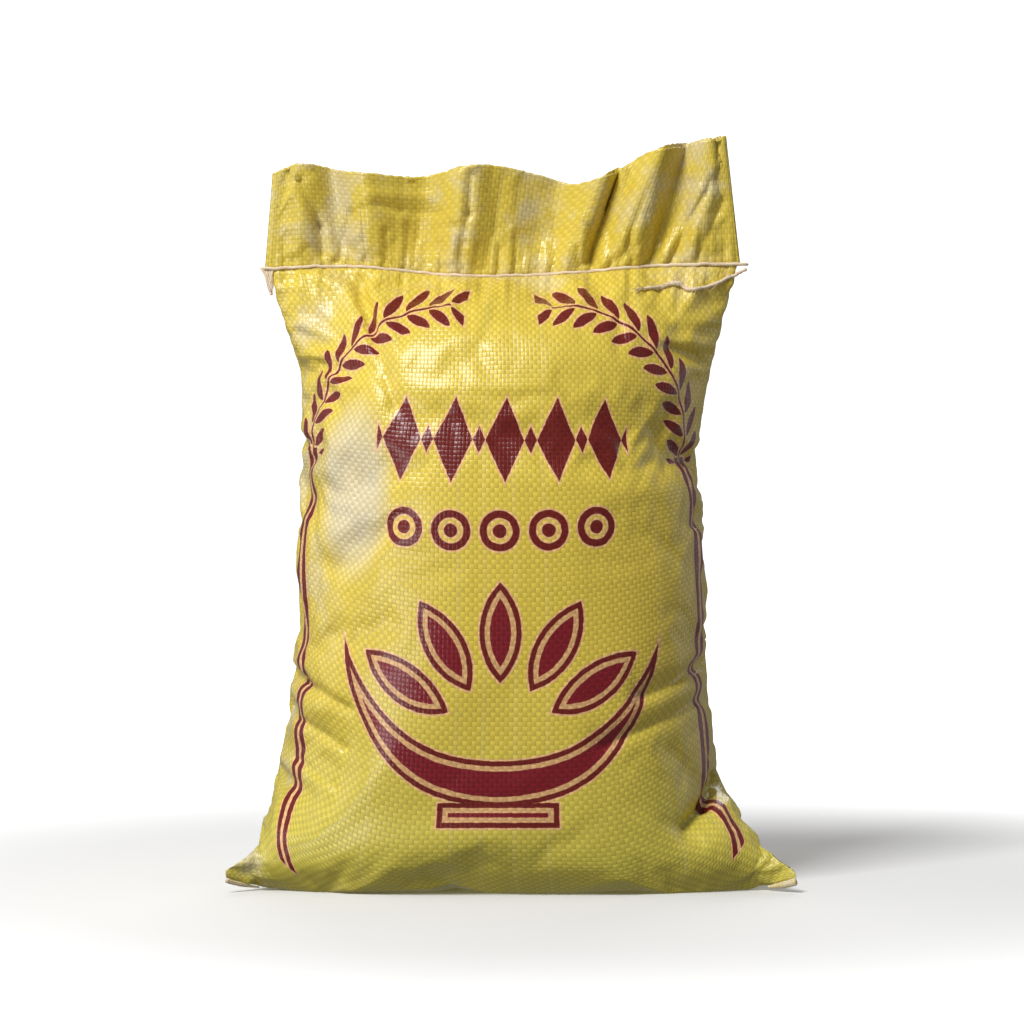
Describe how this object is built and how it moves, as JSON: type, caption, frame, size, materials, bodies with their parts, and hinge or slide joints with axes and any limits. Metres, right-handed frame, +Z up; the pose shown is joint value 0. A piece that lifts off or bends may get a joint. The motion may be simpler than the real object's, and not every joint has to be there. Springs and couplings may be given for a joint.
{
  "type": "sewn-shut woven rice sack",
  "caption": "Full pillow-shaped sack of woven plastic tape, standing upright, sewn shut below a loose mouth flap, with ears at its bottom corners.",
  "frame": {"origin": "middle of the base that the sack stands on, under the middle of its bounding box", "axes": "+Z up from the base to the mouth; -Y towards the printed front, which the camera sees; +X to the right in that view"},
  "size_m": [0.348, 0.1884, 0.4633],
  "materials": {
    "cloth": "woven tape, semi-gloss",
    "thread": "matte twisted thread"
  },
  "bodies": {
    "root": {"sack": "cloth", "closing_thread": "thread", "thread_tail": "thread", "thread_end_left": "thread", "hem_thread_left": "thread", "hem_thread_right": "thread"}
  },
  "joints": []
}
